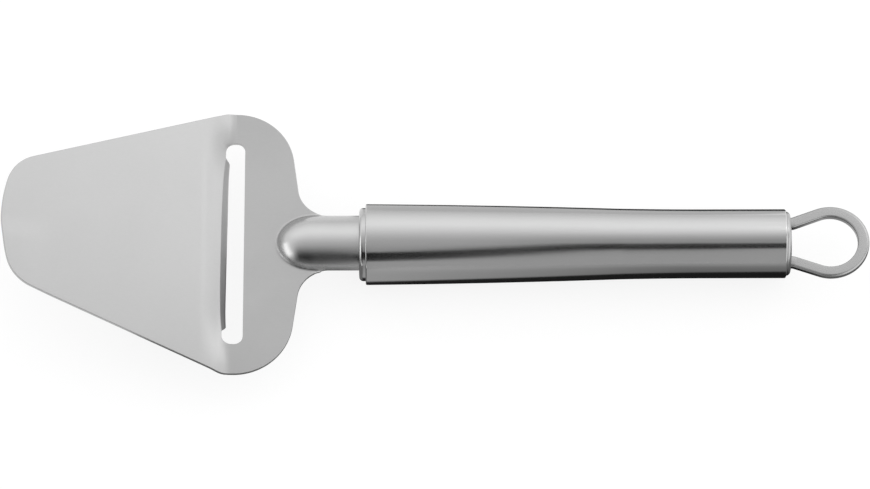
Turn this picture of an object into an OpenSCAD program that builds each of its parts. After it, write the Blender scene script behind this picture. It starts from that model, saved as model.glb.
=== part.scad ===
// Cheese slicer with a bent sheet blade, a hollow round handle and a fixed wire loop for hanging.
// All sizes are millimetres. The handle lies along X with the blade at -X, and the slices come off
// upwards, at +Z. The origin is the bottom centre of the whole tool as it lies on its handle.

/* [Blade sheet] */
// Thickness of the blade's sheet
sheet_t = 1; // [0.8:0.1:1.2]
// Widest place of the blade, across the bend
blade_w = 77.4; // [70:0.2:90]
// Length of the front plate from the bend to the tip, along the sheet
front_len = 65; // [55:0.5:75]
// Angle that each long side of the front plate is drawn in by
side_taper = 19.7; // [12:0.1:22]
// Angle by which the front plate rises towards the tip
bend_angle = 17.5; // [12:0.5:24]
// Inside radius of the bend
bend_r = 6; // [2:0.5:8]
// Radius of the shallow arc at the tip
tip_r = 45; // [40:1:60]
// Radius of the two corners of the tip
tip_corner_r = 11; // [5:0.5:12]
// Radius of the corners where the long sides meet the bend
side_corner_r = 4; // [2:0.5:6]
// Radius of the two shoulders behind the bend
shoulder_r = 16.2; // [14:0.2:18]
// Angle by which the edge behind the shoulders leans towards the handle
rear_lean = 8; // [4:0.5:12]
// Radius of the hollow corners between the rear edge and the neck
neck_fillet_r = 8.4; // [5:0.2:9]

/* [Slot and cutting lip] */
// Length of the slot
slot_len = 59.8; // [50:0.2:62]
// Rear edge of the slot, behind the bend line
slot_rear = 3.4; // [3:0.1:4.5]
// Front edge of the slot at its two ends, ahead of the bend line
slot_front = 2.1; // [1.8:0.1:2.6]
// Radius of the slot's corners
slot_corner_r = 2.2; // [1:0.1:2.4]
// Line ahead of the bend where the lip starts to dip, along the sheet
lip_root = 7.9; // [7:0.1:9]
// Slope of the lip below the level of the rear plate
lip_slope = 33; // [28:0.5:36]
// Length of the straight cutting edge
lip_len = 47.4; // [40:0.2:50]
// Stretch over which each end of the lip rises back to the plate
lip_run_out = 3.8; // [2:0.1:4.5]
// Cutting edge, ahead of the bend line
edge_ahead = 1.3; // [1:0.1:1.6]
// Width of the ground bevel, seen from above
bevel_w = 1.8; // [1.2:0.1:2.2]

/* [Neck] */
// Height of the rear plate's top face above the handle's axis
plate_top = 1.5; // [0:0.1:1.8]
// Outer radius of the arched neck and of its round nose
neck_r = 9.1; // [8:0.1:9.4]
// Height of the neck's crown above the handle's axis
neck_crown = 6.4; // [5.6:0.1:7]
// Lower edges of the neck above the handle's axis
neck_edge = 1.2; // [0.8:0.1:1.6]
// Centre of the round nose, behind the bend line
nose_back = 20.4; // [19:0.2:22]
// Distance from the bend line to the face of the front cap
neck_reach = 35.4; // [30:0.2:45]
// Length of the hidden tang, from the face of the front cap
tang_len = 16; // [12:0.5:30]

/* [Handle tube] */
// Length of the tube
handle_len = 116.3; // [100:0.5:140]
// Outer diameter at the front end
handle_front_d = 22.4; // [21.6:0.2:26]
// Outer diameter of the parallel stretch at the back
handle_rear_d = 19.1; // [18:0.1:21]
// Where the straight taper ends, from the front
taper_end = 70; // [50:1:75]
// Where the parallel stretch starts, from the front
parallel_start = 95; // [85:1:98]
// How far the taper bows outwards, as a share of the difference between the two radii
taper_bow = 0.12; // [0:0.02:0.16]
// Wall of the tube
tube_wall = 1; // [0.8:0.1:1.2]
// Radius of the rounded outer edges of the tube
tube_edge_r = 0.4; // [0.2:0.1:0.6]

/* [Caps] */
// Wall of the drawn caps
cap_wall = 1; // [0.8:0.1:1.2]
// How far the front cap stands out of the tube
front_cap_out = 1.8; // [1.4:0.1:3]
// Radius of the front cap's rounded edge
front_cap_edge_r = 1.1; // [0.6:0.1:1.2]
// How far the rear cap stands out of the tube
rear_cap_out = 1.2; // [1.2:0.1:2.5]
// Radius of the rear cap's rounded edge
rear_cap_edge_r = 1; // [0.6:0.1:1.2]
// Depth of each cap's skirt inside the tube
cap_skirt = 3; // [2:0.5:6]

/* [Hanging loop] */
// Length of the loop from the face of the rear cap
loop_len = 22; // [20:0.2:30]
// Outer width of the round end
loop_w = 21; // [19:0.2:22]
// Width of the flat wire, in the plane of the loop
wire_w = 3.1; // [2.4:0.1:3.4]
// Thickness of the flat wire
wire_t = 2.4; // [1.8:0.1:3]
// Radius of the wire's corners
wire_corner_r = 0.6; // [0.3:0.1:0.8]
// Distance between the centres of the two legs in the cap
leg_spacing = 11.4; // [9.5:0.1:11.4]
// Radius at which each leg bends outwards, at the wire's centre
leg_bend_r = 5; // [4:0.5:7]
// Straight stretch of each leg outside the cap
leg_stub = 0.3; // [0.1:0.1:1]
// Length of each leg inside the cap's face
leg_in = 6; // [4:0.5:10]

/* [Fits and welds] */
// Clearance between a cap and the tube, all round
cap_fit = 0.05; // [0.03:0.01:0.1]
// Clearance round the neck and round the loop's legs in their holes
hole_fit = 0.1; // [0.05:0.05:0.2]
// Leg length of the ring beads that hold the caps
cap_bead = 1; // [0.6:0.1:1]
// Leg length of the beads on the neck and on the loop's legs
bead = 0.9; // [0.6:0.1:1]

/* [Hidden] */
$fn = 96;
// Overlap inside the sheet where the lip is joined on, and the edge of plate left over its root
lap = 0.02;
root_lap = 0.1;
// Overshoot of cuts
over = 2;
// Steps along the taper, and along its blend into the parallel stretch
taper_steps = 8;
blend_steps = 10;

// Stations along the handle, measured from the tube's front end
bend_x = -front_cap_out - neck_reach;
rear_cap_face = handle_len + rear_cap_out;
loop_end = rear_cap_face + loop_len;
tip_x = bend_x - front_len * cos(bend_angle) - sheet_t * sin(bend_angle);
// The tool's bottom centre becomes the origin
origin_x = (tip_x + loop_end) / 2;
origin_z = -handle_front_d / 2;

// Handle: slightly bowed taper, then a short blend into the parallel stretch
front_r = handle_front_d / 2;
rear_r = handle_rear_d / 2;
taper_slope = (front_r - rear_r) / ((taper_end + parallel_start) / 2 - tube_edge_r);
blend_len = parallel_start - taper_end;
taper_len = taper_end - tube_edge_r;
function bow(t) = 4 * taper_bow * (front_r - rear_r) * t * (1 - t);
function tube_r(s) =
    s < taper_end ? front_r - taper_slope * (s - tube_edge_r) + bow((s - tube_edge_r) / taper_len)
    : s < parallel_start ? front_r - taper_slope * (s - tube_edge_r - pow(s - taper_end, 2) / (2 * blend_len))
    : rear_r;
stations = [for (i = [0:taper_steps - 1]) tube_edge_r + taper_len * i / taper_steps,
            for (i = [0:blend_steps]) taper_end + blend_len * i / blend_steps, handle_len - tube_edge_r];
front_cap_r = tube_r(cap_skirt) - tube_wall - cap_fit;
rear_cap_r = rear_r - tube_wall - cap_fit;

// Neck: a half-pipe of the blade's own sheet
neck_bore = neck_r - sheet_t;
plate_low = plate_top - sheet_t;
arch_z = neck_crown - neck_r;
neck_half = sqrt(pow(neck_r, 2) - pow(plate_top - arch_z, 2));
neck_end = neck_reach + tang_len;
arch_end = asin((neck_edge - arch_z) / neck_bore);

// Outline of the flat sheet, with X measured back from the bend line
half_w = blade_w / 2;
bend_run = bend_r * tan(bend_angle / 2);
side_normal = [-sin(side_taper), cos(side_taper)];
side_along = [-cos(side_taper), -sin(side_taper)];
side_centre = [-bend_run, half_w - side_corner_r];
tip_centre = [tip_r - front_len, 0];
corner_in = side_centre * side_normal + side_corner_r - tip_corner_r - tip_centre * side_normal;
corner_run = sqrt(pow(tip_r - tip_corner_r, 2) - pow(corner_in, 2));
corner_centre = tip_centre + corner_in * side_normal + corner_run * side_along;
shoulder_centre = [bend_run, half_w - shoulder_r];
rear_normal = [cos(rear_lean), sin(rear_lean)];
fillet_y = neck_half + neck_fillet_r;
fillet_reach = shoulder_centre * rear_normal + shoulder_r + neck_fillet_r;
fillet_x = (fillet_reach - fillet_y * sin(rear_lean)) / cos(rear_lean);
fillet_centre = [fillet_x, fillet_y];

// Cutting lip in a side view, with X measured back from the bend line and Z from the handle's axis
lip_root_x = -lip_root * cos(bend_angle);
lip_root_z = plate_top + lip_root * sin(bend_angle);
bevel_x = -edge_ahead - bevel_w;
bevel_z = lip_root_z - (bevel_x - lip_root_x) * tan(lip_slope);
edge_z = lip_root_z - (-edge_ahead - lip_root_x) * tan(lip_slope) - sheet_t / cos(lip_slope);
miter_angle = (lip_slope + bend_angle) / 2;
miter_len = sheet_t / cos((lip_slope - bend_angle) / 2);
root_top = [lip_root_x, lip_root_z];
root_low = root_top - miter_len * [sin(miter_angle), cos(miter_angle)];
up_plate = [-cos(bend_angle), sin(bend_angle)];
off_plate = [sin(bend_angle), cos(bend_angle)];
lip_side = [root_top, [bevel_x, bevel_z], [-edge_ahead, edge_z], root_low,
            root_low + sheet_t * up_plate + lap * off_plate, root_top + sheet_t * up_plate - lap * off_plate];
rest_top = [-slot_front, plate_top + slot_front * tan(bend_angle)];
rest_side = [root_top - lap * off_plate, rest_top - lap * off_plate,
             rest_top - [0, sheet_t / cos(bend_angle)] + lap * off_plate, root_low + lap * off_plate];

// Loop: parallel legs, an outward bend, a straight run and the round end
wire_r = (loop_w - wire_w) / 2;
round_x = loop_end - loop_w / 2;
leg_y = leg_spacing / 2;
leg_bend_x = rear_cap_face + leg_stub;
centre_gap = norm([round_x - leg_bend_x, leg_y + leg_bend_r]);
leg_lean = asin((wire_r + leg_bend_r) / centre_gap) - atan((leg_y + leg_bend_r) / (round_x - leg_bend_x));
leg_run = sqrt(pow(centre_gap, 2) - pow(wire_r + leg_bend_r, 2));
// The straight stretches are drawn slightly slimmer than the bends, and run into them by a short lap
leg_draw = 0.03;
leg_lap = 0.4;

// Moves what is drawn on the handle's axis into the tool's own frame
module place() {
    translate([-origin_x, 0, -origin_z]) children();
}

// Turns a shape drawn around Z so that it lies around the handle's axis, with Z pointing back
module along_handle() {
    rotate([0, 90, 0]) children();
}

// Keeps a shape and its mirror image across the tool's middle plane
module both_sides() {
    children();
    mirror([0, 1, 0]) children();
}

// Stands a side view up as a slab that reaches from -half to half across the tool
module slab(half) {
    translate([0, half, 0]) rotate([90, 0, 0]) linear_extrude(2 * half) children();
}

function mirrored(points) = [for (i = [len(points) - 1:-1:0]) [points[i][0], -points[i][1]]];

// Flat outline of the front plate
module front_outline() {
    half = [[bend_run, half_w], [-bend_run, half_w], side_centre, side_centre + side_corner_r * side_normal,
            corner_centre + tip_corner_r * side_normal, corner_centre];
    ray = 2 * tip_r * (corner_centre - tip_centre) / norm(corner_centre - tip_centre);
    polygon(concat(half, mirrored(half)));
    intersection() {
        translate(tip_centre) circle(tip_r);
        polygon([tip_centre, tip_centre + ray, tip_centre + [2 * ray[0], 0], tip_centre + [ray[0], -ray[1]]]);
    }
    both_sides() {
        translate(side_centre) circle(side_corner_r);
        translate(corner_centre) circle(tip_corner_r);
    }
}

// Flat outline of the rear plate, up to where the neck leaves it
module rear_outline() {
    half = [[-bend_run, half_w], [bend_run, half_w], shoulder_centre,
            shoulder_centre + shoulder_r * rear_normal, fillet_centre - neck_fillet_r * rear_normal,
            fillet_centre];
    difference() {
        union() {
            polygon(concat(half, mirrored(half)));
            both_sides() intersection() {
                translate(shoulder_centre) circle(shoulder_r);
                square([shoulder_r + bend_run, half_w]);
            }
        }
        both_sides() translate(fillet_centre) circle(neck_fillet_r);
    }
}

// Side view of all that lies above one face of the bent sheet, whose bend has radius r at depth deep
module above_face(r, deep) {
    far = 2 * (front_len + neck_reach);
    low = plate_top - deep;
    front_tangent = [bend_run, plate_top + bend_r] - r * off_plate;
    polygon([[bend_run, low], [far, low], [far, far], [-far, far], front_tangent + far * up_plate,
             front_tangent, [bend_run, plate_top + bend_r]]);
    translate([bend_run, plate_top + bend_r]) circle(r);
}

module sheet_side() {
    difference() {
        above_face(bend_r + sheet_t, sheet_t);
        above_face(bend_r, 0);
    }
}

// The bent sheet, cut to its outline
module bent_sheet() {
    intersection() {
        slab(half_w + over) sheet_side();
        union() {
            translate([0, 0, plate_top]) rotate([0, bend_angle, 0]) translate([0, 0, -over])
                linear_extrude(2 * over) front_outline();
            translate([0, 0, plate_top - over]) linear_extrude(2 * over) rear_outline();
        }
    }
}

module slot_cut() {
    inner = slot_len / 2 - slot_corner_r;
    translate([0, 0, plate_low - over]) linear_extrude(sheet_t + 2 * over) {
        translate([-slot_front, -inner]) square([slot_front + slot_rear, 2 * inner]);
        translate([slot_corner_r - slot_front, -slot_len / 2])
            square([slot_front + slot_rear - 2 * slot_corner_r, slot_len]);
        both_sides() for (x = [slot_corner_r - slot_front, slot_rear - slot_corner_r])
            translate([x, inner]) circle(slot_corner_r);
    }
}

// Window in the front plate that the pressed lip takes the place of
module lip_window() {
    half = lip_len / 2 + lip_run_out;
    length = lip_root - root_lap - slot_front + over;
    translate([0, 0, plate_top]) rotate([0, bend_angle, 0]) translate([root_lap - lip_root, -half, -over])
        cube([length, 2 * half, 2 * over]);
}

module lip() {
    slab(lip_len / 2) polygon(lip_side);
    both_sides() hull() {
        translate([0, lip_len / 2, 0]) slab(lap) polygon([for (i = [0:3]) lip_side[i]]);
        translate([0, lip_len / 2 + lip_run_out, 0]) slab(lap) polygon(rest_side);
    }
}

// Solid form of the neck and its round nose, of radius r, which runs past the tang's end
module neck_form(r, past = 0) {
    translate([nose_back, 0, arch_z]) {
        sphere(r);
        along_handle() cylinder(r = r, h = neck_end - nose_back + past);
    }
}

// The neck's underside is flush with the plate at the nose and rises to the edges of the half-pipe
module neck_side() {
    top = neck_crown + over;
    polygon([[0, plate_low], [nose_back, plate_low], [nose_back + neck_r, neck_edge], [neck_end, neck_edge],
             [neck_end, top], [0, top]]);
}

module blade() {
    color("gainsboro") place() translate([bend_x, 0, 0]) difference() {
        union() {
            difference() {
                bent_sheet();
                slot_cut();
                lip_window();
            }
            lip();
            intersection() {
                neck_form(neck_r);
                slab(neck_r + over) neck_side();
            }
        }
        neck_form(neck_bore, over);
    }
}

// Drawn cup with its rounded face at -out and its skirt inside the tube, drawn around Z
module drawn_cap(r, out, edge_r) {
    rotate_extrude() difference() {
        union() {
            translate([0, -out]) square([r - edge_r, out + cap_skirt]);
            translate([0, edge_r - out]) square([r, out - edge_r + cap_skirt]);
            translate([r - edge_r, edge_r - out]) circle(edge_r);
        }
        translate([0, cap_wall - out]) square([r - cap_wall, out + cap_skirt]);
    }
}

// Its slot is an arch that ends just below the edges of the neck
module front_cap() {
    below = 2 * (neck_r + over);
    color("lightgray") place() difference() {
        along_handle() drawn_cap(front_cap_r, front_cap_out, front_cap_edge_r);
        translate([-front_cap_out - over, 0, arch_z]) rotate([90, 0, 90]) linear_extrude(cap_wall + 2 * over)
            difference() {
                circle(neck_r + hole_fit);
                circle(neck_bore - hole_fit);
                translate([-below / 2, neck_edge - hole_fit - arch_z - below]) square(below);
            }
    }
}

module handle_tube() {
    inner_end = rear_r - tube_wall;
    color("silver") place() along_handle() rotate_extrude() difference() {
        union() {
            polygon(concat([[0, tube_edge_r]], [for (s = stations) [tube_r(s), s]],
                           [[0, handle_len - tube_edge_r]]));
            square([front_r - tube_edge_r, 2 * tube_edge_r]);
            translate([front_r - tube_edge_r, tube_edge_r]) circle(tube_edge_r);
            translate([0, handle_len - 2 * tube_edge_r]) square([rear_r - tube_edge_r, 2 * tube_edge_r]);
            translate([rear_r - tube_edge_r, handle_len - tube_edge_r]) circle(tube_edge_r);
        }
        polygon(concat([[0, -over], [front_r - tube_wall, -over]],
                       [for (s = stations) [tube_r(s) - tube_wall, s]],
                       [[inner_end, handle_len + over], [0, handle_len + over]]));
    }
}

// Cross-section of the flat wire, grown by extra on every side
module wire_section(extra = 0) {
    w = wire_w + 2 * extra;
    t = wire_t + 2 * extra;
    r = wire_corner_r + extra;
    square([w, t - 2 * r], center = true);
    square([w - 2 * r, t], center = true);
    for (x = [r - w / 2, w / 2 - r], y = [r - t / 2, t / 2 - r]) translate([x, y]) circle(r);
}

// Raises a section straight along the handle's axis, with its width across the tool
module run_along(length) {
    rotate([90, 0, 90]) linear_extrude(length) children();
}

module rear_cap() {
    color("lightgray") place() difference() {
        translate([handle_len, 0, 0]) mirror([1, 0, 0]) along_handle()
            drawn_cap(rear_cap_r, rear_cap_out, rear_cap_edge_r);
        both_sides() translate([rear_cap_face - cap_wall - over, leg_y, 0])
            run_along(cap_wall + 2 * over) wire_section(hole_fit);
    }
}

module straight_wire(length) {
    run_along(length) wire_section(-leg_draw);
}

module bent_wire(radius, angle) {
    rotate_extrude(angle = angle) translate([radius, 0]) wire_section();
}

module hanging_loop() {
    color("darkgray") place() {
        both_sides() {
            translate([rear_cap_face - leg_in, leg_y, 0]) straight_wire(leg_in + leg_stub + leg_lap);
            translate([leg_bend_x, leg_y + leg_bend_r, 0]) {
                rotate(-90) bent_wire(leg_bend_r, leg_lean);
                rotate(leg_lean) translate([-leg_lap, -leg_bend_r, 0]) straight_wire(leg_run + 2 * leg_lap);
            }
        }
        translate([round_x, 0, 0]) rotate(-90 - leg_lean) bent_wire(wire_r, 180 + 2 * leg_lean);
    }
}

// Fillet bead under the arch of the neck, against the inside of the front cap
module neck_weld() {
    color("gray") place() translate([cap_wall - front_cap_out, 0, arch_z]) along_handle()
        rotate(90 + arch_end) rotate_extrude(angle = 180 - 2 * arch_end)
            polygon([[neck_bore, 0], [neck_bore, bead], [neck_bore - bead, 0]]);
}

// Ring bead in the corner between the tube's bore and the end of a cap's skirt, at a station
module cap_ring_bead(s, way) {
    bore_here = tube_r(s) - tube_wall;
    bore_there = tube_r(s + way * cap_bead) - tube_wall;
    along_handle() rotate_extrude()
        polygon([[bore_here, s], [bore_here - cap_bead, s], [bore_there, s + way * cap_bead]]);
}

module front_cap_weld() {
    color("gray") place() cap_ring_bead(cap_skirt, 1);
}

module rear_cap_weld() {
    color("gray") place() cap_ring_bead(handle_len - cap_skirt, -1);
}

module loop_welds() {
    color("gray") place() translate([rear_cap_face - cap_wall - bead, 0, 0]) both_sides() run_along(bead)
        intersection() {
            translate([leg_y, 0]) difference() {
                wire_section(bead);
                wire_section();
            }
            circle(rear_cap_r - cap_wall);
        }
}

blade();
front_cap();
handle_tube();
rear_cap();
hanging_loop();
neck_weld();
front_cap_weld();
rear_cap_weld();
loop_welds();
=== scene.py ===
import math

import bmesh
import bpy
from mathutils import Matrix, Vector


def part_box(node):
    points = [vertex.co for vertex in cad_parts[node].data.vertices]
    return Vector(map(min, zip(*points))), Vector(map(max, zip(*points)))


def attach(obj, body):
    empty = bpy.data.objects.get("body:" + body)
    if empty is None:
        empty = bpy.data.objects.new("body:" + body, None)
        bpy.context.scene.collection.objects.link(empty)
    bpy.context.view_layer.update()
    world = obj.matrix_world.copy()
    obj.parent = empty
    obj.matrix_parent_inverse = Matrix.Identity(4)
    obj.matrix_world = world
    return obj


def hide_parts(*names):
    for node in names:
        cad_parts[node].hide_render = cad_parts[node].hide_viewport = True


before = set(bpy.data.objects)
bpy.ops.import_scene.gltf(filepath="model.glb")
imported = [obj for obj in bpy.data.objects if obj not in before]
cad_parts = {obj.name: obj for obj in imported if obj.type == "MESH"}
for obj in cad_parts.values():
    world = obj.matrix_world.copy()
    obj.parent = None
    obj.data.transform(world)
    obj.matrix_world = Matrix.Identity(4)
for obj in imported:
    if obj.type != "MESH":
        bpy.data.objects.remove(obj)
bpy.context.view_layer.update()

# Lengths are in millimetres until a piece is finished

mm = 0.001
hair = 0.0001                                      # closer than this is touching
seamSnap = 0.002                                   # points are joined within these distances
finishSnap = 0.004
cutSnap = 0.01
tubeLow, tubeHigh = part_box("handle_tube")
axisZ = (tubeLow.z + tubeHigh.z) / 2 / mm          # height of the handle's axis
tubeStart = tubeLow.x / mm                         # front end of the tube
tubeLength = (tubeHigh.x - tubeLow.x) / mm
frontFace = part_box("front_cap")[0].x / mm          # outer faces of the two caps
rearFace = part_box("rear_cap")[1].x / mm
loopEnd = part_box("hanging_loop")[1].x / mm
bladeWidth = (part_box("blade")[1].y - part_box("blade")[0].y) / mm


def ease(low, high, x):
    # from 0 at low to 1 at high, smooth at both
    t = min(1.0, max(0.0, (x - low) / (high - low)))
    return t * t * (3 - 2 * t)


def arc(centre, radius, start, end, steps):
    angles = [math.radians(start + (end - start) * i / steps) for i in range(steps + 1)]
    return [(centre[0] + radius * math.cos(a), centre[1] + radius * math.sin(a)) for a in angles]


def span(start, end, step):
    # even places from start on, without the end
    count = max(1, round((end - start) / step))
    return [start + (end - start) * i / count for i in range(count)]


def everything(bm):
    return bm.verts[:] + bm.edges[:] + bm.faces[:]


def only(kind, geom):
    return [g for g in geom if isinstance(g, kind)]


def wire(bm, points, closed=True):
    # a chain of edges through points
    verts = [bm.verts.new(p) for p in points]
    last = len(verts) if closed else len(verts) - 1
    return [bm.edges.new((verts[i], verts[(i + 1) % len(verts)])) for i in range(last)]


def spinRound(bm, geom, steps=96):
    # a full turn about the handle's axis
    bmesh.ops.spin(bm, geom=geom, cent=(0, 0, 0), axis=(1, 0, 0), dvec=(0, 0, 0), angle=math.tau,
                   steps=steps, use_merge=True, use_normal_flip=False, use_duplicate=False)


def roundEdges(bm, edges, radius, segments):
    bmesh.ops.bevel(bm, geom=edges, offset=radius, offset_type="OFFSET", segments=segments,
                    profile=0.5, affect="EDGES", clamp_overlap=True, material=-1)


def finishPiece(name, bm, material, nodeName, creaseAngle=40.0):
    # millimetres to metres, into place, and onto the body
    bmesh.ops.remove_doubles(bm, verts=bm.verts, dist=finishSnap)
    bmesh.ops.dissolve_degenerate(bm, dist=seamSnap, edges=bm.edges)
    bmesh.ops.recalc_face_normals(bm, faces=bm.faces)
    bmesh.ops.translate(bm, verts=bm.verts, vec=(0, 0, axisZ))
    bmesh.ops.scale(bm, verts=bm.verts, vec=(mm, mm, mm))
    for face in bm.faces:
        face.smooth = True
    for edge in bm.edges:
        if len(edge.link_faces) == 2 and edge.calc_face_angle(0) > math.radians(creaseAngle):
            edge.smooth = False
    mesh = bpy.data.meshes.new(name)
    bm.to_mesh(mesh)
    bm.free()
    piece = bpy.data.objects.new(name, mesh)
    bpy.context.scene.collection.objects.link(piece)
    mesh.materials.append(material)
    weighted = piece.modifiers.new("weighted", "WEIGHTED_NORMAL")
    weighted.keep_sharp = True
    weighted.weight = 80
    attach(piece, "root")
    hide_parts(nodeName)
    print(name, len(mesh.polygons), "faces")


# Shader maths: a wrapped socket adds its own Math nodes

def greyOf(tone):
    return (tone, tone, tone, 1)


def plug(tree, socket, value):
    if isinstance(value, Value):
        tree.links.new(value.socket, socket)
    else:
        socket.default_value = value


class Value:
    def __init__(self, shade, socket):
        self.shade = shade
        self.socket = socket

    def math(self, operation, *others):
        return self.shade.add("ShaderNodeMath", {"operation": operation},
                              dict(enumerate((self,) + others)))

    def __add__(self, other):
        return self.math("ADD", other)

    __radd__ = __add__

    def __mul__(self, other):
        return self.math("MULTIPLY", other)

    __rmul__ = __mul__

    def __sub__(self, other):
        return self.math("SUBTRACT", other)

    def __rsub__(self, other):
        return self.shade.add("ShaderNodeMath", {"operation": "SUBTRACT"}, {0: other, 1: self})

    def __truediv__(self, other):
        return self.math("DIVIDE", other)

    def clipped(self, low=0.0, high=1.0):
        return self.math("MAXIMUM", low).math("MINIMUM", high)

    def rise(self, low, high):
        # from 0 at low to 1 at high, which are in millimetres
        return ((self - low * mm) / ((high - low) * mm)).clipped()

    def smooth(self, low, high):
        return self.shade.add("ShaderNodeMapRange", {"interpolation_type": "SMOOTHSTEP"},
                              {"Value": self, "From Min": low, "From Max": high})


class Shade:
    def __init__(self, tree):
        self.tree = tree
        tree.nodes.clear()

    def add(self, kind, settings=None, sockets=None, out=0):
        node = self.tree.nodes.new(kind)
        for name, value in (settings or {}).items():
            if name == "stops":
                ramp = node.color_ramp
                while len(ramp.elements) < len(value):
                    ramp.elements.new(1.0)
                for element, (place, tone) in zip(ramp.elements, value):
                    element.position = place
                    element.color = greyOf(tone)
            else:
                setattr(node, name, value)
        for name, value in (sockets or {}).items():
            plug(self.tree, node.inputs[name], value)
        if len(node.outputs):
            return Value(self, node.outputs[out])

    def several(self, kind, names, sockets=None):
        # more than one output of a node
        outputs = self.add(kind, {}, sockets).socket.node.outputs
        return [Value(self, outputs[name]) for name in names]

    def coords(self, kind="Object"):
        # x, y and z on the piece, in metres
        here = self.add("ShaderNodeTexCoord", out=kind)
        return self.several("ShaderNodeSeparateXYZ", ("X", "Y", "Z"), {"Vector": here})

    def noise(self, scale, detail, rough, warp=0.0, stretch=(1, 1, 1)):
        here = self.add("ShaderNodeTexCoord", out="Object")
        place = self.add("ShaderNodeMapping", {}, {"Vector": here, "Scale": stretch})
        return self.add("ShaderNodeTexNoise", {},
                        {"Vector": place, "Scale": scale, "Detail": detail, "Roughness": rough,
                         "Distortion": warp}, out="Fac")

    def ramp(self, stops, part):
        return self.add("ShaderNodeValToRGB", {"stops": stops}, {"Fac": part})

    def blend(self, first, second, factor):
        return self.add("ShaderNodeMix", {"data_type": "RGBA"},
                        {"Factor": factor, 6: first, 7: second}, out=2)

    def grey(self, low, high, mask):
        # between two greys
        return self.blend(greyOf(low), greyOf(high), mask)

    def steel(self, tone, roughness, height, depth):
        # the metal surface and its output
        normal = self.add("ShaderNodeBump", {}, {"Height": height, "Distance": depth,
                                                 "Strength": 1.0})
        self.output(self.add("ShaderNodeBsdfPrincipled", {},
                             {"Base Color": tone, "Roughness": roughness, "Metallic": 1.0,
                              "Normal": normal}))

    def glow(self, tone, strength=1.0):
        return self.add("ShaderNodeEmission", {}, {"Color": tone, "Strength": strength})

    def mixed(self, first, second, factor):
        # two surfaces, the second where the factor is 1
        return self.add("ShaderNodeMixShader", {}, {0: factor, 1: first, 2: second})

    def output(self, surface):
        self.add("ShaderNodeOutputMaterial", {}, {"Surface": surface})


def newMaterial(name):
    material = bpy.data.materials.new(name)
    material.use_nodes = True
    return material, Shade(material.node_tree)


# Finishes

satin = {                   # the stretch of the brushed lines, and their depth (cut) in metres
    "blade": {"low": 0.40, "high": 0.48, "rough": 0.36, "vary": 0.10,
              "lines": (900, 5200, 900), "cut": 0.000004, "cloudy": 2.6,
              "neckLow": 0.52, "neckHigh": 0.58, "neckRough": 0.25},    # the neck is polished
    "tube": {"low": 0.51, "high": 0.59, "rough": 0.15, "vary": 0.10,
             "lines": (60, 4200, 4200), "cut": 0.0000025, "cloudy": 1.0},
    "cap": {"low": 0.50, "high": 0.56, "rough": 0.16, "vary": 0.08,
            "lines": (3200, 900, 900), "cut": 0.000002, "cloudy": 1.0},
    # a darker copy of the cap's steel: painted shade that dims the rear cap's highlights
    "rearCap": {"low": 0.40, "high": 0.46, "rough": 0.30, "vary": 0.08,
                "lines": (3200, 900, 900), "cut": 0.000002, "cloudy": 1.0},
    "loop": {"low": 0.36, "high": 0.42, "rough": 0.27, "vary": 0.12,
             "lines": (1400, 1400, 1400), "cut": 0.000003, "cloudy": 1.0},
}
grain = {                   # scale, detail, roughness and warp of each noise
    "lines": (1.0, 4.0, 0.6),
    "clouds": (38.0, 3.0, 0.5, 0.4),
    "pits": (900.0, 2.0, 0.6),
    "shares": (0.45, 0.4, 0.15),        # of the three in the tone
    "pitDepth": 0.35,       # over the depth of the lines
    "roughLimits": (0.05, 0.9),
}
polish = {                  # where the polish of the neck sets in, and where it is full
    "nose": (-28.0, -26.0),             # along the handle from the front cap's face
    "back": (-14.0, -8.0),
    "height": (1.7, 2.9),               # over the handle's axis
}
bead = {
    "ripple": (1500.0, 2.0, 0.5),
    "heat": (240.0, 2.0, 0.5),
    "low": 0.22,
    "high": 0.5,
    "rough": 0.35,
    "vary": 0.25,
    "cut": 0.00004,
}


def raisedNeck(shade):
    # 1 on the pressed neck and its nose, 0 on the plates
    x, y, z = shade.coords()
    nose = x.rise(*[frontFace + place for place in polish["nose"]])
    height = z.rise(*[axisZ + place for place in polish["height"]])
    back = x.rise(*[frontFace + place for place in polish["back"]])
    return (nose * height).math("MAXIMUM", back)


def brushedSteel(name, finish):
    # fine lines of a belt or a brush over slow patches of tone
    material, shade = newMaterial(name)
    lines = shade.noise(*grain["lines"], stretch=finish["lines"])
    clouds = (shade.noise(*grain["clouds"]) - 0.5) * finish["cloudy"] + 0.5
    pits = shade.noise(*grain["pits"])
    lineShare, cloudShare, pitShare = grain["shares"]
    mask = (lines * lineShare + clouds * cloudShare + pits * pitShare).clipped()
    tone = shade.grey(finish["low"], finish["high"], mask)
    rough = finish["rough"] + (mask - 0.5) * finish["vary"]
    if "neckRough" in finish:
        neck = raisedNeck(shade)
        tone = shade.blend(tone, shade.grey(finish["neckLow"], finish["neckHigh"], mask), neck)
        rough = rough + neck * (finish["neckRough"] - finish["rough"])
    rough = rough.clipped(*grain["roughLimits"])
    shade.steel(tone, rough, lines + pits * grain["pitDepth"], finish["cut"])
    return material


def weldSteel(name, finish):
    material, shade = newMaterial(name)
    ripple = shade.noise(*finish["ripple"])
    heat = shade.noise(*finish["heat"])
    tone = shade.grey(finish["low"], finish["high"], heat)
    shade.steel(tone, finish["rough"] + ripple * finish["vary"], ripple, finish["cut"])
    return material


bladeSteel = brushedSteel("bladeSteel", satin["blade"])
tubeSteel = brushedSteel("tubeSteel", satin["tube"])
capSteel = brushedSteel("capSteel", satin["cap"])
# the rear cap's steel is darkened as painted shade
shadedRearCapSteel = brushedSteel("shadedRearCapSteel", satin["rearCap"])
loopSteel = brushedSteel("loopSteel", satin["loop"])
beadSteel = weldSteel("beadSteel", bead)
print("finishes made")


# Blade: a blank is cut, its edges are rounded, and then it is pressed and ground.
# On the blank, u runs back from the bend line and v across from the middle

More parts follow.
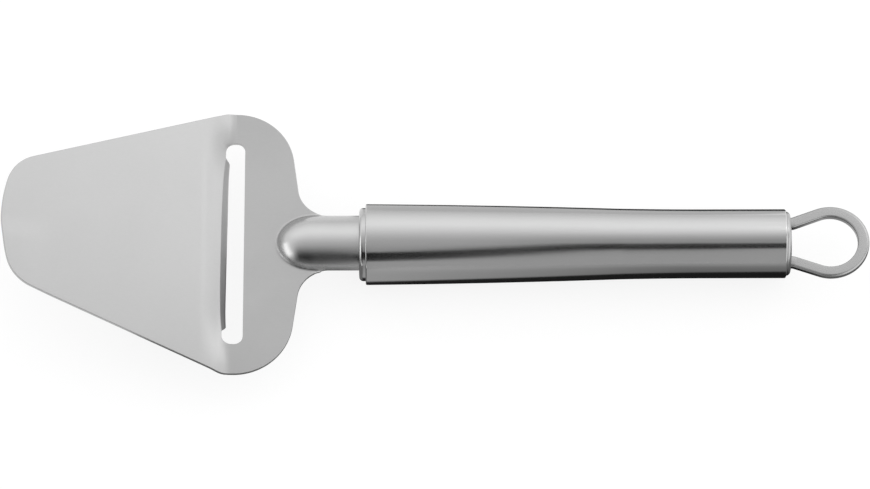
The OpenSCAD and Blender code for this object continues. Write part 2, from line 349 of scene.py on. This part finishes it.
blade = {
    "sheet": 1.0,                   # thickness
    "aboveAxis": 1.5,               # top of the rear plate over the handle's axis
    "neckReach": 35.4,              # bend line to the front cap's face
    "tang": 16.0,                   # hidden length behind that face
    "frontLength": 65.0,
    "bendAngle": 17.5,
    "bendRadius": 9.0,
    "sideFlat": 0.75,               # straight side ahead of the bend line, and behind it
    "rearFlat": 1.1,
    "sideTaper": 19.7,
    "tipRadius": 45.0,
    "tipCorner": 11.0,
    "tipWear": 0.4,                 # one corner of the tip is ground back
    "wearAcross": (-1.0, 6.0),
    "wearAhead": (49.0, 60.0),
    "sideCorner": 6.0,
    "shoulder": 16.2,
    "rearLean": 8.0,
    "edgeRound": 0.12,
    "slotLength": 59.8,
    "slotRear": 3.5,                # edges of the slot behind the bend line and ahead of it
    "slotFront": 1.9,
    "slotCorner": 2.6,
    "slotRearCorner": 2.3,
    "slotRound": 0.05,
    "lipRoot": 7.9,                 # crease where the lip starts to dip, ahead of the bend line
    "lipDip": 15.0,                 # below the front plate
    "lipEdge": 0.15,                # the cutting edge ahead of the bend line
    "lipStraight": 24.0,            # half of the straight edge, and where its rounded ends stop
    "lipStop": 26.0,
    "lipBack": 0.5,                 # what lies ahead of this goes with the front plate
    "rampStart": 19.0,
    "rampEnd": 36.5,                # where the dip has died out beside the slot
    "rampBeside": 27.5,             # from here to the slot's end it also dies out towards the back
    "rampBesideBack": (-3.0, 1.1),
    "rampBack": (0.4, 1.1),
    "skew": 0.009,                  # the edge isn't quite square to the handle
    "skewAhead": (-6.0, -2.5),
    "skewBack": (0.3, 1.1),
    "creaseHalf": 1.1,
    "grindBow": 0.7,                # bow of the grinding's border
    "grindSlope": 0.36,
    "honeWidth": 0.42,
    "honeSlope": 0.42,
    "neckHalf": 8.25,               # where the neck's sides end
    "neckFillet": 8.4,
    "neckRadius": 9.1,
    "neckCrown": 6.4,
    "noseBack": 23.0,
    "noseLong": 1.3,                # its length over its half width
    "footRadius": 0.8,
    "footEnd": 23.0,                # from here on the arch's sides stand clear of the plate
    "footFade": 3.5,
    "archReach": 3.0,               # how far past its foot the clear arch goes on
    "archFloor": 0.2,               # it goes down to this far past the neck's side
}
cuts = {                            # a fine net, so that the sheet can be formed: from, to, step
    "along": ((-65, -9.6, 2.2), (-9.6, -3.2, 0.4), (-3.2, -0.6, 0.16), (-0.6, 3.4, 0.3),
              (3.4, 10.4, 1.0), (10.4, 22.0, 0.25), (22.0, 35.0, 0.8), (35.0, 51.0, 2.0)),
    "across": ((0, 9.4, 0.25), (9.4, 22.0, 1.2), (22.0, 31.5, 0.4), (31.5, 38.6, 1.2)),
}
bendX = frontFace - blade["neckReach"]
bendRun = blade["bendRadius"] * math.tan(math.radians(blade["bendAngle"] / 2))
neckStop = blade["neckReach"] + blade["tang"]


def bladeOutline(b):
    # half of the blank: out round the tip, side, shoulder and neck, and back round the slot
    half = bladeWidth / 2
    taper = math.radians(b["sideTaper"])
    lean = math.radians(b["rearLean"])
    sideNormal = Vector((-math.sin(taper), math.cos(taper)))
    sideAlong = Vector((-math.cos(taper), -math.sin(taper)))
    sideCentre = Vector((-b["sideFlat"], half - b["sideCorner"]))
    tipCentre = Vector((b["tipRadius"] - b["frontLength"], 0))
    inset = (sideCentre.dot(sideNormal) + b["sideCorner"] - b["tipCorner"]
             - tipCentre.dot(sideNormal))
    run = math.sqrt((b["tipRadius"] - b["tipCorner"]) ** 2 - inset ** 2)
    cornerCentre = tipCentre + inset * sideNormal + run * sideAlong
    tipAngle = math.degrees(math.atan2(cornerCentre.y, cornerCentre.x - tipCentre.x))
    shoulderCentre = Vector((b["rearFlat"], half - b["shoulder"]))
    rearNormal = Vector((math.cos(lean), math.sin(lean)))
    filletY = b["neckHalf"] + b["neckFillet"]
    reach = shoulderCentre.dot(rearNormal) + b["shoulder"] + b["neckFillet"]
    filletCentre = ((reach - filletY * math.sin(lean)) / math.cos(lean), filletY)
    points = arc(tipCentre, b["tipRadius"], 180, tipAngle, 16)
    points += arc(cornerCentre, b["tipCorner"], tipAngle, 90 + b["sideTaper"], 10)[1:]
    points += arc(sideCentre, b["sideCorner"], 90 + b["sideTaper"], 90, 6)
    points += arc(shoulderCentre, b["shoulder"], 90, b["rearLean"], 28)
    points += arc(filletCentre, b["neckFillet"], 180 + b["rearLean"], 270, 18)
    points += [(neckStop, b["neckHalf"]), (neckStop, 0)]
    end = b["slotLength"] / 2
    corner = b["slotCorner"]
    rear = b["slotRearCorner"]
    points += [(b["slotRear"], 0)]
    points += arc((b["slotRear"] - rear, end - rear), rear, 0, 90, 8)
    points += arc((corner - b["slotFront"], end - corner), corner, 90, 180, 8)
    steps = 10                      # the lip's edge runs out to the slot's front edge
    for i in range(steps + 1):
        v = b["lipStop"] + (b["lipStraight"] - b["lipStop"]) * i / steps
        rise = ease(0, steps, i)
        points.append((-b["slotFront"] + (b["slotFront"] - b["lipEdge"]) * rise, v))
    points += [(-b["lipEdge"], 0)]
    return points


def neckLift(b, u, v):
    # the arch of the neck and its round nose, with a small hollow at the foot
    radius = b["neckRadius"]
    foot = b["footRadius"]
    centre = b["neckCrown"] - b["aboveAxis"] - radius
    away = math.hypot(min(0.0, u - b["noseBack"]) / b["noseLong"], v)
    footY = math.sqrt((radius + foot) ** 2 - (foot - centre) ** 2)
    arch = centre + math.sqrt(radius ** 2 - min(away, b["neckHalf"] + b["archFloor"]) ** 2)
    lift = arch
    if away >= footY:
        lift = 0.0
    elif away > footY * radius / (radius + foot):
        lift = foot - math.sqrt(max(0.0, foot ** 2 - (footY - away) ** 2))
    if away >= footY + b["archReach"]:
        return lift
    return lift + (arch - lift) * ease(b["footEnd"], b["footEnd"] + b["footFade"], u)


def lipDrop(b, u, v):
    # how far the sheet is pressed down towards the cutting edge
    past = u + b["lipRoot"]
    soft = b["creaseHalf"]
    if past <= -soft:
        return 0.0
    dip = past if past > soft else (past + soft) ** 2 / (4 * soft)
    side = 1 - ease(b["rampStart"], b["rampEnd"], abs(v))
    beside = ease(b["rampBeside"], b["slotLength"] / 2, abs(v))
    back = (1 - beside * ease(*b["rampBesideBack"], u)) * (1 - ease(*b["rampBack"], u))
    return dip * math.tan(math.radians(b["lipDip"])) * side * back


def ground(b, u, v):
    # how deep the grinding wheel and the honing stone have cut at the edge
    if abs(v) > b["lipStop"] or u > 0:
        return 0.0
    border = -b["slotFront"] - b["grindBow"] * (1 - abs(v / b["lipStop"]) ** 3)
    wheel = max(0.0, u - border) * b["grindSlope"]
    stone = max(0.0, u + b["lipEdge"] + b["honeWidth"]) * b["honeSlope"]
    return wheel + stone


def sheetPoint(b, u, v):
    # where a point of the blank's top face goes
    angle = math.radians(b["bendAngle"])
    onLip = abs(v) < b["slotLength"] / 2 - b["slotCorner"] and u < b["lipBack"]
    if u >= bendRun:
        turned = 0.0
        x = u
        z = 0.0
    elif u <= -bendRun or onLip:
        turned = angle
        x = u * math.cos(angle)
        z = -u * math.sin(angle)
    else:
        turned = angle * (bendRun - u) / (2 * bendRun)
        x = bendRun - b["bendRadius"] * math.sin(turned)
        z = b["bendRadius"] * (1 - math.cos(turned))
    drop = lipDrop(b, u, v)
    lift = neckLift(b, u, v)
    return Vector((x - drop * math.sin(turned), v, z - drop * math.cos(turned) + lift))


def pressed(b, u, v, z):
    # where any point of the blank goes, square to the formed top face
    step = 0.02                     # to either side, for the slope
    here = sheetPoint(b, u, v)
    along = sheetPoint(b, u + step, v) - sheetPoint(b, u - step, v)
    across = sheetPoint(b, u, v + step) - sheetPoint(b, u, v - step)
    normal = along.cross(across).normalized()
    deep = min(max(-z, ground(b, u, v)), b["sheet"])
    point = here - normal * deep
    skew = b["skew"] * v * ease(*b["skewAhead"], u) * (1 - ease(*b["skewBack"], u))
    wear = b["tipWear"] * ease(*b["wearAcross"], -v) * ease(*b["wearAhead"], -u)
    return point + Vector((bendX + skew + wear, 0, b["aboveAxis"]))


def cutBlank(bm, b):
    # half of the flat sheet, open along the middle
    edges = wire(bm, [(u, v, 0) for u, v in bladeOutline(b)])
    bmesh.ops.contextual_create(bm, geom=edges)
    bmesh.ops.recalc_face_normals(bm, faces=bm.faces)
    for face in bm.faces:
        if face.normal.z < 0:
            face.normal_flip()
    made = bmesh.ops.extrude_face_region(bm, geom=list(bm.faces), use_keep_orig=True)
    lower = only(bmesh.types.BMVert, made["geom"])
    bmesh.ops.translate(bm, verts=lower, vec=(0, 0, -b["sheet"]))
    bmesh.ops.recalc_face_normals(bm, faces=bm.faces)
    middle = [f for f in bm.faces if all(abs(v.co.y) < hair for v in f.verts)]
    bmesh.ops.delete(bm, geom=middle, context="FACES_ONLY")


def roundRims(bm, b):
    # the edges of the outline and those of the slot
    room = 0.1                      # round the slot
    rims = {"edgeRound": [], "slotRound": []}
    for edge in bm.edges:
        middle = (edge.verts[0].co + edge.verts[1].co) / 2
        level = abs(edge.verts[0].co.z - edge.verts[1].co.z) < hair
        if level and middle.y > hair and len(edge.link_faces) == 2:
            inSlot = abs(middle.x) < b["slotRear"] + room and middle.y < b["slotLength"] / 2 + room
            rims["slotRound" if inSlot else "edgeRound"].append(edge)
    for size, edges in rims.items():
        roundEdges(bm, [e for e in edges if e.is_valid], b[size], 2)


def buildBlade(b):
    bm = bmesh.new()
    cutBlank(bm, b)
    roundRims(bm, b)
    along = [u for part in cuts["along"] for u in span(*part)]
    across = [v for part in cuts["across"] for v in span(*part)]
    for u in along:
        bmesh.ops.bisect_plane(bm, geom=everything(bm), dist=cutSnap,
                               plane_co=(u, 0, 0), plane_no=(1, 0, 0))
    for v in across[1:]:
        bmesh.ops.bisect_plane(bm, geom=everything(bm), dist=cutSnap,
                               plane_co=(0, v, 0), plane_no=(0, 1, 0))
    bmesh.ops.mirror(bm, geom=everything(bm), axis="Y", merge_dist=seamSnap)
    bmesh.ops.remove_doubles(bm, verts=bm.verts, dist=cutSnap)
    for vert in bm.verts:
        vert.co = pressed(b, *vert.co)
    finishPiece("blade_sheet", bm, bladeSteel, "blade", creaseAngle=21)


buildBlade(blade)


# Handle tube: one profile spun round the axis

tube = {
    "frontRadius": (tubeHigh.z - tubeLow.z) / 2 / mm,
    "rearRadius": 9.55,
    "taperEnd": 70.0,
    "parallelStart": 95.0,
    "bow": 0.12,            # how far the taper swells, as a share of its whole drop
    "wall": 1.0,
    "edge": 0.4,
}


def tubeRadius(s):
    # at a distance s from the tube's front end
    t = tube
    drawn = t["frontRadius"] - t["rearRadius"]
    slope = drawn / ((t["taperEnd"] + t["parallelStart"]) / 2 - t["edge"])
    if s < t["taperEnd"]:
        part = (s - t["edge"]) / (t["taperEnd"] - t["edge"])
        swell = 4 * t["bow"] * drawn * part * (1 - part)
        return t["frontRadius"] - slope * (s - t["edge"]) + swell
    if s < t["parallelStart"]:
        easing = (s - t["taperEnd"]) ** 2 / (2 * (t["parallelStart"] - t["taperEnd"]))
        return t["frontRadius"] - slope * (s - t["edge"] - easing)
    return t["rearRadius"]


def buildTube(t):
    edge = t["edge"]
    stations = span(edge, t["taperEnd"], 8) + span(t["taperEnd"], t["parallelStart"], 2.5)
    stations += span(t["parallelStart"], tubeLength - edge, 7) + [tubeLength - edge]
    profile = arc((edge, t["frontRadius"] - edge), edge, 180, 90, 5)[:-1]
    profile += [(s, tubeRadius(s)) for s in stations]
    profile += arc((tubeLength - edge, t["rearRadius"] - edge), edge, 90, 0, 5)[1:]
    profile += [(tubeLength, t["rearRadius"] - t["wall"])]
    profile += [(s, tubeRadius(s) - t["wall"]) for s in reversed(stations[1:-1])]
    profile += [(0, t["frontRadius"] - t["wall"])]
    bm = bmesh.new()
    edges = wire(bm, [(s + tubeStart, 0, r) for s, r in profile])
    spinRound(bm, bm.verts[:] + edges, steps=128)
    finishPiece("handle_sleeve", bm, tubeSteel, "handle_tube")


buildTube(tube)


# Caps: drawn cups, with holes punched through their faces

capSkirt = 3.0              # how far a cap goes into the tube
capFit = 0.05               # room between its skirt and the tube's wall
frontCap = {
    "radius": tubeRadius(capSkirt) - tube["wall"] - capFit,
    "out": tubeStart - frontFace,
    "wall": 1.0,
    "edge": 1.1,            # rounding of the face's rim
    "inside": 0.35,
    "end": 0.2,             # and of the skirt's end
    "gap": 0.1,             # round the neck
    "flange": 0.0,
    "neckEdge": 1.2,        # lower edges of the neck over the handle's axis
}
rearCap = {
    "radius": tube["rearRadius"] - tube["wall"] - capFit,
    "out": rearFace - tubeStart - tubeLength,
    "wall": 1.0,
    "edge": 1.15,
    "inside": 0.35,
    "end": 0.2,
    "gap": 0.1,             # round the loop's legs
    "flange": 0.4,          # how far the part outside the tube stands over the skirt
}


def neckHole(c, b):
    # the arch that the neck goes through, as (y, z)
    centre = (0, b["neckCrown"] - b["neckRadius"])
    low = c["neckEdge"] - c["gap"]
    outer = b["neckRadius"] + c["gap"]
    inner = b["neckRadius"] - b["sheet"] - c["gap"]
    startOut = math.degrees(math.asin((low - centre[1]) / outer))
    startIn = math.degrees(math.asin((low - centre[1]) / inner))
    top = arc(centre, outer, startOut, 180 - startOut, 40)
    return top + arc(centre, inner, 180 - startIn, startIn, 40)


def capSection(c):
    # from the face's rim along the skirt and back inside it, as (distance behind the face, radius)
    r = c["radius"]
    hollow = r - c["wall"]
    face = r + c["flange"]
    length = c["out"] + capSkirt
    end = c["end"]
    section = arc((c["edge"], face - c["edge"]), c["edge"], 180, 90, 10)
    if c["flange"]:
        section += [(c["out"], face), (c["out"], r)]
    outerRing = (length * 0.5, r)           # these two keep the skirt's faces short
    innerRing = (length * 0.6, hollow)
    section += [outerRing] + arc((length - end, r - end), end, 90, 0, 3)
    section += arc((length - end, hollow + end), end, 0, -90, 3) + [innerRing]
    inside = c["inside"]
    return section + arc((c["wall"] + inside, hollow - inside), inside, 90, 180, 4)


def buildCap(name, c, holes, faceX, way, nodeName, material):
    # the cup is spun from its section, and its two flat faces are filled round the holes
    bm = bmesh.new()
    chain = wire(bm, [(s, 0, radius) for s, radius in capSection(c)], closed=False)
    spinRound(bm, bm.verts[:] + chain)
    for depth in (0.0, c["wall"]):
        rim = [e for e in bm.edges
               if e.is_boundary and all(abs(v.co.x - depth) < hair for v in e.verts)]
        for hole in holes:
            rim += wire(bm, [(depth, y, z) for y, z in hole])
        bmesh.ops.triangle_fill(bm, edges=rim, use_beauty=True, use_dissolve=False,
                                normal=(1, 0, 0))
    ends = [e for e in bm.edges if e.is_boundary]
    bmesh.ops.bridge_loops(bm, edges=ends, use_pairs=len(holes) > 1)
    bmesh.ops.recalc_face_normals(bm, faces=bm.faces)
    bmesh.ops.scale(bm, verts=bm.verts, vec=(way, 1, 1))
    bmesh.ops.translate(bm, verts=bm.verts, vec=(faceX, 0, 0))
    finishPiece(name, bm, material, nodeName)


buildCap("front_cup", frontCap, [neckHole(frontCap, blade)], frontFace, 1, "front_cap", capSteel)


# Loop: flat wire, swept from the far end round to one leg and then mirrored

loop = {
    "width": 21.0,
    "wireWidth": 3.1,
    "wireThick": 2.4,
    "outerRound": 0.8,      # corners of the wire outside the bend are rounder than those inside
    "innerRound": 0.45,
    "legY": 5.77,
    "legBend": 3.8,
    "legStub": 0.1,
    "legIn": 6.0,
    "roundBack": 0.3,       # the round end is a little longer than it is wide
    "raise": 0.3,           # of the legs, and how much more for each millimetre behind the cap
    "tilt": 0.03,
}


def wireSection(o, lap=0.0):
    # across the wire, or a hole that is larger by the lap, as (outwards, up)
    w = o["wireWidth"] / 2 + lap
    t = o["wireThick"] / 2 + lap
    outer = o["outerRound"] + lap
    inner = o["innerRound"] + lap
    points = arc((w - outer, t - outer), outer, 0, 90, 5)
    points += arc((inner - w, t - inner), inner, 90, 180, 4)
    points += arc((inner - w, inner - t), inner, 180, 270, 4)
    return points + arc((w - outer, outer - t), outer, 270, 360, 5)


def sweepWire(bm, edges, centre, angle, steps):
    made = bmesh.ops.spin(bm, geom=edges, cent=centre, axis=(0, 0, 1), dvec=(0, 0, 0),
                          angle=angle, steps=steps, use_merge=False, use_normal_flip=False,
                          use_duplicate=False)
    return only(bmesh.types.BMEdge, made["geom_last"])


def pushWire(bm, edges, length, along, steps):
    for i in range(steps):
        made = bmesh.ops.extrude_edge_only(bm, edges=edges)
        edges = [e for e in only(bmesh.types.BMEdge, made["geom"]) if e.is_boundary]
        moved = only(bmesh.types.BMVert, made["geom"])
        bmesh.ops.translate(bm, verts=moved, vec=Vector(along) * (length / steps))
    return edges


def buildLoop(o):
    wireR = (o["width"] - o["wireWidth"]) / 2
    roundX = loopEnd - o["width"] / 2 - o["roundBack"]
    bendAt = rearFace + o["legStub"]
    rise = o["legY"] + o["legBend"]
    gap = math.hypot(roundX - bendAt, rise)
    lean = math.asin((wireR + o["legBend"]) / gap) - math.atan(rise / (roundX - bendAt))
    run = math.sqrt(gap ** 2 - (wireR + o["legBend"]) ** 2)
    bm = bmesh.new()
    edges = wire(bm, [(roundX + wireR + out, 0, up) for out, up in wireSection(o)])
    edges = sweepWire(bm, edges, (roundX, 0, 0), math.pi / 2 + lean, 36)
    edges = pushWire(bm, edges, run, (-math.cos(lean), -math.sin(lean), 0), 4)
    edges = sweepWire(bm, edges, (bendAt, rise, 0), -lean, 8)
    edges = pushWire(bm, edges, o["legStub"] + o["legIn"], (-1, 0, 0), 3)
    bmesh.ops.contextual_create(bm, geom=edges)
    bmesh.ops.mirror(bm, geom=everything(bm), axis="Y", merge_dist=seamSnap)
    for vert in bm.verts:
        vert.co.z += o["raise"] + o["tilt"] * (vert.co.x - rearFace)
        vert.co.x += max(0.0, vert.co.x - roundX) * 2 * o["roundBack"] / o["width"]
    finishPiece("wire_loop", bm, loopSteel, "hanging_loop")


def legHole(o, c, side):
    return [(side * (o["legY"] + out), up + o["raise"]) for out, up in wireSection(o, c["gap"])]


buildLoop(loop)
legHoles = [legHole(loop, rearCap, side) for side in (1, -1)]
buildCap("rear_cup", rearCap, legHoles, rearFace, -1, "rear_cap", shadedRearCapSteel)


# Camera

view = {
    "aim": (-0.82, 0.0, 11.2),
    "distance": 1300.0,
    "elevation": 68.0,
    "roll": 0.13,
    "focalPixels": 4691.0,
    "pictureWidth": 870.0,
    "sensorWidth": 36.0,
    "clip": (0.05, 50.0),   # metres
}


def placeCamera():
    lens = bpy.data.cameras.new("camera")
    lens.sensor_width = view["sensorWidth"]
    lens.lens = view["focalPixels"] / view["pictureWidth"] * lens.sensor_width
    lens.clip_start, lens.clip_end = view["clip"]
    camera = bpy.data.objects.new("camera", lens)
    bpy.context.scene.collection.objects.link(camera)
    tilt = math.radians(90 - view["elevation"])
    aim = Vector(view["aim"]) * mm
    back = Vector((0, -math.sin(tilt), math.cos(tilt)))
    camera.location = aim + back * view["distance"] * mm
    turn = Matrix.Rotation(tilt, 4, "X") @ Matrix.Rotation(math.radians(-view["roll"]), 4, "Z")
    camera.rotation_euler = turn.to_euler()
    bpy.context.scene.camera = camera
    bpy.context.scene.view_settings.view_transform = "Standard"
    print("camera placed")


placeCamera()


# Studio: a soft sky, a pale floor, and cards that only reflections see

studio = {
    "sky": ((-90, 0.50), (-33, 0.50), (-22, 0.56), (-10, 0.60), (1, 0.72), (13, 0.90),
            (25, 1.10), (38, 1.26), (52, 1.23), (67, 1.09), (84, 0.88),
            (90, 0.80)),            # degrees from straight up towards the far side, brightness
    "skyTop": 1.6,
    "rightBright": 1.42,            # the part of the sky beyond the loop, and where it sets in
    "rightFade": (0.12, 0.5),
    "leftBright": 1.0,              # and beyond the tip
    "leftFade": (0.55, 0.95),
    "floorSize": 20000,
    "floorTone": 0.2,
    "floorRough": 0.9,
    "floorGlow": 0.83,              # as the camera and the reflections see it
}
sideBox = {                         # a lamp out to the left
    "place": (-0.96, -0.20, 0.16),  # its direction, and how far off, in metres
    "away": 0.9,
    "size": (0.7, 0.6),
    "power": 3.0,                   # for each square metre
}
darkFlag = {                        # hangs over the near side of the handle
    "away": 700.0,
    "line": ((-90, -58, 13.2), (-12, -57.5, 13.2), (20, -52, 13.2), (52, -45.1, 13.2),
             (95, -31.7, 12.4), (119, -28, 11.2), (147, -25.8, 10.8),
             (230, -25, 10.8)),     # x, centre and half width in degrees
    "bright": 0.01,
}
greyCard = {                        # over the rear half of the handle
    "away": 690.0,
    "from": 40,
    "to": 330,
    "fade": (70, 40),               # how far its two ends fade in
    "tones": ((-20, 0.40), (-10, 0.42), (0, 0.58), (8, 0.76), (13, 0.90)),  # degrees, brightness
}
neckCard = {
    "away": 80.0,
    "from": -120,
    "to": -20,
    "fade": (30, 9),
    "tones": ((-80, 0.16), (-70, 0.10), (-60, 0.01), (-48, 0.01), (-38, 0.12), (-25, 0.37),
              (-16, 0.50)),
}
wall = {                            # far out over the loop, for the front plate's reflection
    "from": 190,
    "to": 620,
    "near": 60,
    "far": 480,
    "startHeight": 698.0,
    "endHeight": 418.0,
    "rise": (20, 400),              # it gets brighter towards the far side
    "dim": 0.10,
    "bright": 2.28,
}
groundShade = {                           # the ground under the tool as its metal reflects it, with painted shade: darker near the tool and a black strip under the handle
    "from": -90,
    "reach": 3000,
    "height": 0.2,
    "start": (-3.0, 1.0),           # from the front cap's face, where the handle's part sets in
    "blackLow": -16.6,              # edges of the black strip, the handle's painted shadow, under the front end of the handle
    "blackHigh": 27.0,
    "spread": 0.075,                # how much each edge moves out for each millimetre back
    "spreadEnd": 120.0,
    "soft": 3.0,
    "black": 0.015,
    "blackEnd": (100.0, 106.0),     # the strip stops behind the handle
    "nearLeft": 0.50,               # brightness on the near side, beside the strip and far off, darker near the handle as painted shade
    "farLeft": 0.60,
    "nearRight": 0.20,
    "farRight": 0.42,
    "nearFade": (20.0, 120.0),
    "rightFull": 90.0,
    "farFade": 8.0,
    "far": 0.70,                    # on the far side
    "loopFar": 1.1,                 # and there beside the loop
    "neckNear": 0.22,               # under the neck, with painted shade on its near side
    "neckFar": 0.98,
}


def buildLamp(name, box):
    lamp = bpy.data.lights.new(name, "AREA")
    lamp.shape = "RECTANGLE"
    lamp.size, lamp.size_y = box["size"]
    lamp.energy = box["power"] * lamp.size * lamp.size_y
    holder = bpy.data.objects.new(name, lamp)
    bpy.context.scene.collection.objects.link(holder)
    away = Vector(box["place"]).normalized()
    holder.location = away * box["away"]
    holder.rotation_euler = away.to_track_quat("Z", "Y").to_euler()
    holder.visible_camera = False


def buildSky(s):
    world = bpy.data.worlds.new("studio")
    bpy.context.scene.world = world
    world.use_nodes = True
    shade = Shade(world.node_tree)
    x, y, z = shade.coords("Generated")
    turn = y.math("ARCTAN2", z) / math.pi + 0.5        # 0 and 1 are the two horizons
    top = s["skyTop"]
    lit = shade.ramp([(degrees / 180 + 0.5, bright / top) for degrees, bright in s["sky"]], turn)
    lit = shade.blend(lit, greyOf(s["rightBright"] / top), x.smooth(*s["rightFade"]))
    lit = shade.blend(lit, greyOf(s["leftBright"] / top), (-1 * x).smooth(*s["leftFade"]))
    seen = shade.add("ShaderNodeLightPath", out="Is Camera Ray")
    room = shade.add("ShaderNodeBackground", {}, {"Color": lit, "Strength": top})
    white = shade.add("ShaderNodeBackground", {}, {"Color": greyOf(1), "Strength": 1.0})
    surface = shade.mixed(room, white, seen)
    shade.add("ShaderNodeOutputWorld", {}, {"Surface": surface})


def stagePiece(name, bm, material, hidden=True):
    bmesh.ops.scale(bm, verts=bm.verts, vec=(mm, mm, mm))
    mesh = bpy.data.meshes.new(name)
    bm.to_mesh(mesh)
    bm.free()
    mesh.materials.append(material)
    piece = bpy.data.objects.new(name, mesh)
    bpy.context.scene.collection.objects.link(piece)
    if hidden:
        piece.visible_camera = False
        piece.visible_diffuse = False
        piece.visible_shadow = False
        piece.visible_transmission = False


def stageStrip(name, firstLine, secondLine, material):
    # a card between two lines
    bm = bmesh.new()
    edges = wire(bm, firstLine, closed=False) + wire(bm, secondLine, closed=False)
    bmesh.ops.bridge_loops(bm, edges=edges)
    stagePiece(name, bm, material)


def buildFloor(s):
    bm = bmesh.new()
    bmesh.ops.create_grid(bm, x_segments=2, y_segments=2, size=s["floorSize"])
    material, shade = newMaterial("paleFloor")
    direct, glossy, through = shade.several(
        "ShaderNodeLightPath", ("Is Camera Ray", "Is Glossy Ray", "Is Transmission Ray"))
    glow = (direct + glossy + through).clipped() * s["floorGlow"]
    shade.output(shade.add("ShaderNodeBsdfPrincipled", {},
                           {"Base Color": greyOf(s["floorTone"]), "Roughness": s["floorRough"],
                            "Specular IOR Level": 0.0, "Emission Color": greyOf(1),
                            "Emission Strength": glow}))
    stagePiece("floor", bm, material, hidden=False)


def buildFlag(f):
    material, shade = newMaterial("flagCloth")
    shade.output(shade.glow(greyOf(1), f["bright"]))
    lines = []
    for side in (-1, 1):
        line = []
        for x, degrees, half in f["line"]:
            a = math.radians(degrees + side * half)
            line.append((x, f["away"] * math.sin(a), axisZ + f["away"] * math.cos(a)))
        lines.append(line)
    stageStrip("darkFlag", *lines, material)


def fadedCard(name, card):
    # a piece of a tube round the handle's axis, whose brightness changes across it
    tones = card["tones"]
    low = tones[0][0]
    high = tones[-1][0]
    material, shade = newMaterial(name)
    x, y, z = shade.coords()
    degrees = y.math("ARCTAN2", z - axisZ * mm) * (180 / math.pi)
    stops = [((a - low) / (high - low), bright) for a, bright in tones]
    glow = shade.glow(shade.ramp(stops, (degrees - low) / (high - low)))
    clear = shade.add("ShaderNodeBsdfTransparent")
    fadeIn, fadeOut = card["fade"]
    start = x.rise(card["from"], card["from"] + fadeIn)
    end = (-1 * x).rise(-card["to"], fadeOut - card["to"])
    shade.output(shade.mixed(clear, glow, start * end))
    bend = arc((0, 0), card["away"], 90 - low, 90 - high, 24)
    bm = bmesh.new()
    edges = wire(bm, [(card["from"], side, axisZ + up) for side, up in bend], closed=False)
    made = bmesh.ops.extrude_edge_only(bm, edges=edges)
    moved = only(bmesh.types.BMVert, made["geom"])
    bmesh.ops.translate(bm, verts=moved, vec=(card["to"] - card["from"], 0, 0))
    stagePiece(name, bm, material)


def buildWall(w):
    material, shade = newMaterial("whiteWall")
    x, y, z = shade.coords()
    bright = w["dim"] + y.rise(*w["rise"]) * (w["bright"] - w["dim"])
    shade.output(shade.glow(greyOf(1), bright))
    lines = [[(w["from"], side, w["startHeight"]), (w["to"], side, w["endHeight"])]
             for side in (w["near"], w["far"])]
    stageStrip("whiteWall", *lines, material)


def groundShadeMaterial(c):
    # painted shade of the ground: a black strip for the handle's shadow, darker greys beside it
    # and under the neck
    material, shade = newMaterial("groundShadeCard")
    x, y, z = shade.coords()
    along = (x - tubeStart * mm).clipped(0.0, c["spreadEnd"] * mm)
    spread = along * c["spread"]
    half = c["soft"] / 2
    above = (y + spread).rise(c["blackLow"] - half, c["blackLow"] + half)
    below = (spread - y).rise(-c["blackHigh"] - half, half - c["blackHigh"])
    behind = x.rise(*c["blackEnd"])
    # the black strip, the handle's painted shadow
    under = above * below * (1 - behind)
    distance = (-1 * y).rise(*c["nearFade"])
    left = c["nearLeft"] + distance * (c["farLeft"] - c["nearLeft"])
    right = c["nearRight"] + distance * (c["farRight"] - c["nearRight"])
    near = left + (right - left) * along.rise(0, c["rightFull"])
    farSide = y.rise(0, c["farFade"])
    beside = near + (c["far"] - near) * farSide
    beside = beside + farSide * behind * (c["loopFar"] - c["far"])
    underNeck = c["neckNear"] + farSide * (c["neckFar"] - c["neckNear"])
    handle = x.rise(*[frontFace + place for place in c["start"]])
    lit = underNeck + (beside * (1 - under) + under * c["black"] - underNeck) * handle
    shade.output(shade.glow(greyOf(1), lit))
    return material


def buildGroundShade(c):
    lines = [[(x, y, c["height"]) for x in (c["from"], c["reach"])]
             for y in (-c["reach"], c["reach"])]
    stageStrip("groundShadeCard", *lines, groundShadeMaterial(c))


buildSky(studio)
buildLamp("sideBox", sideBox)
buildFloor(studio)
buildFlag(darkFlag)
fadedCard("greyCard", greyCard)
fadedCard("neckCard", neckCard)
buildWall(wall)
buildGroundShade(groundShade)
print("studio built")

for nodeName in ("neck_weld", "front_cap_weld", "rear_cap_weld", "loop_welds"):
    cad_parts[nodeName].data.materials.clear()
    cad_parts[nodeName].data.materials.append(beadSteel)
print("weld beads dressed")
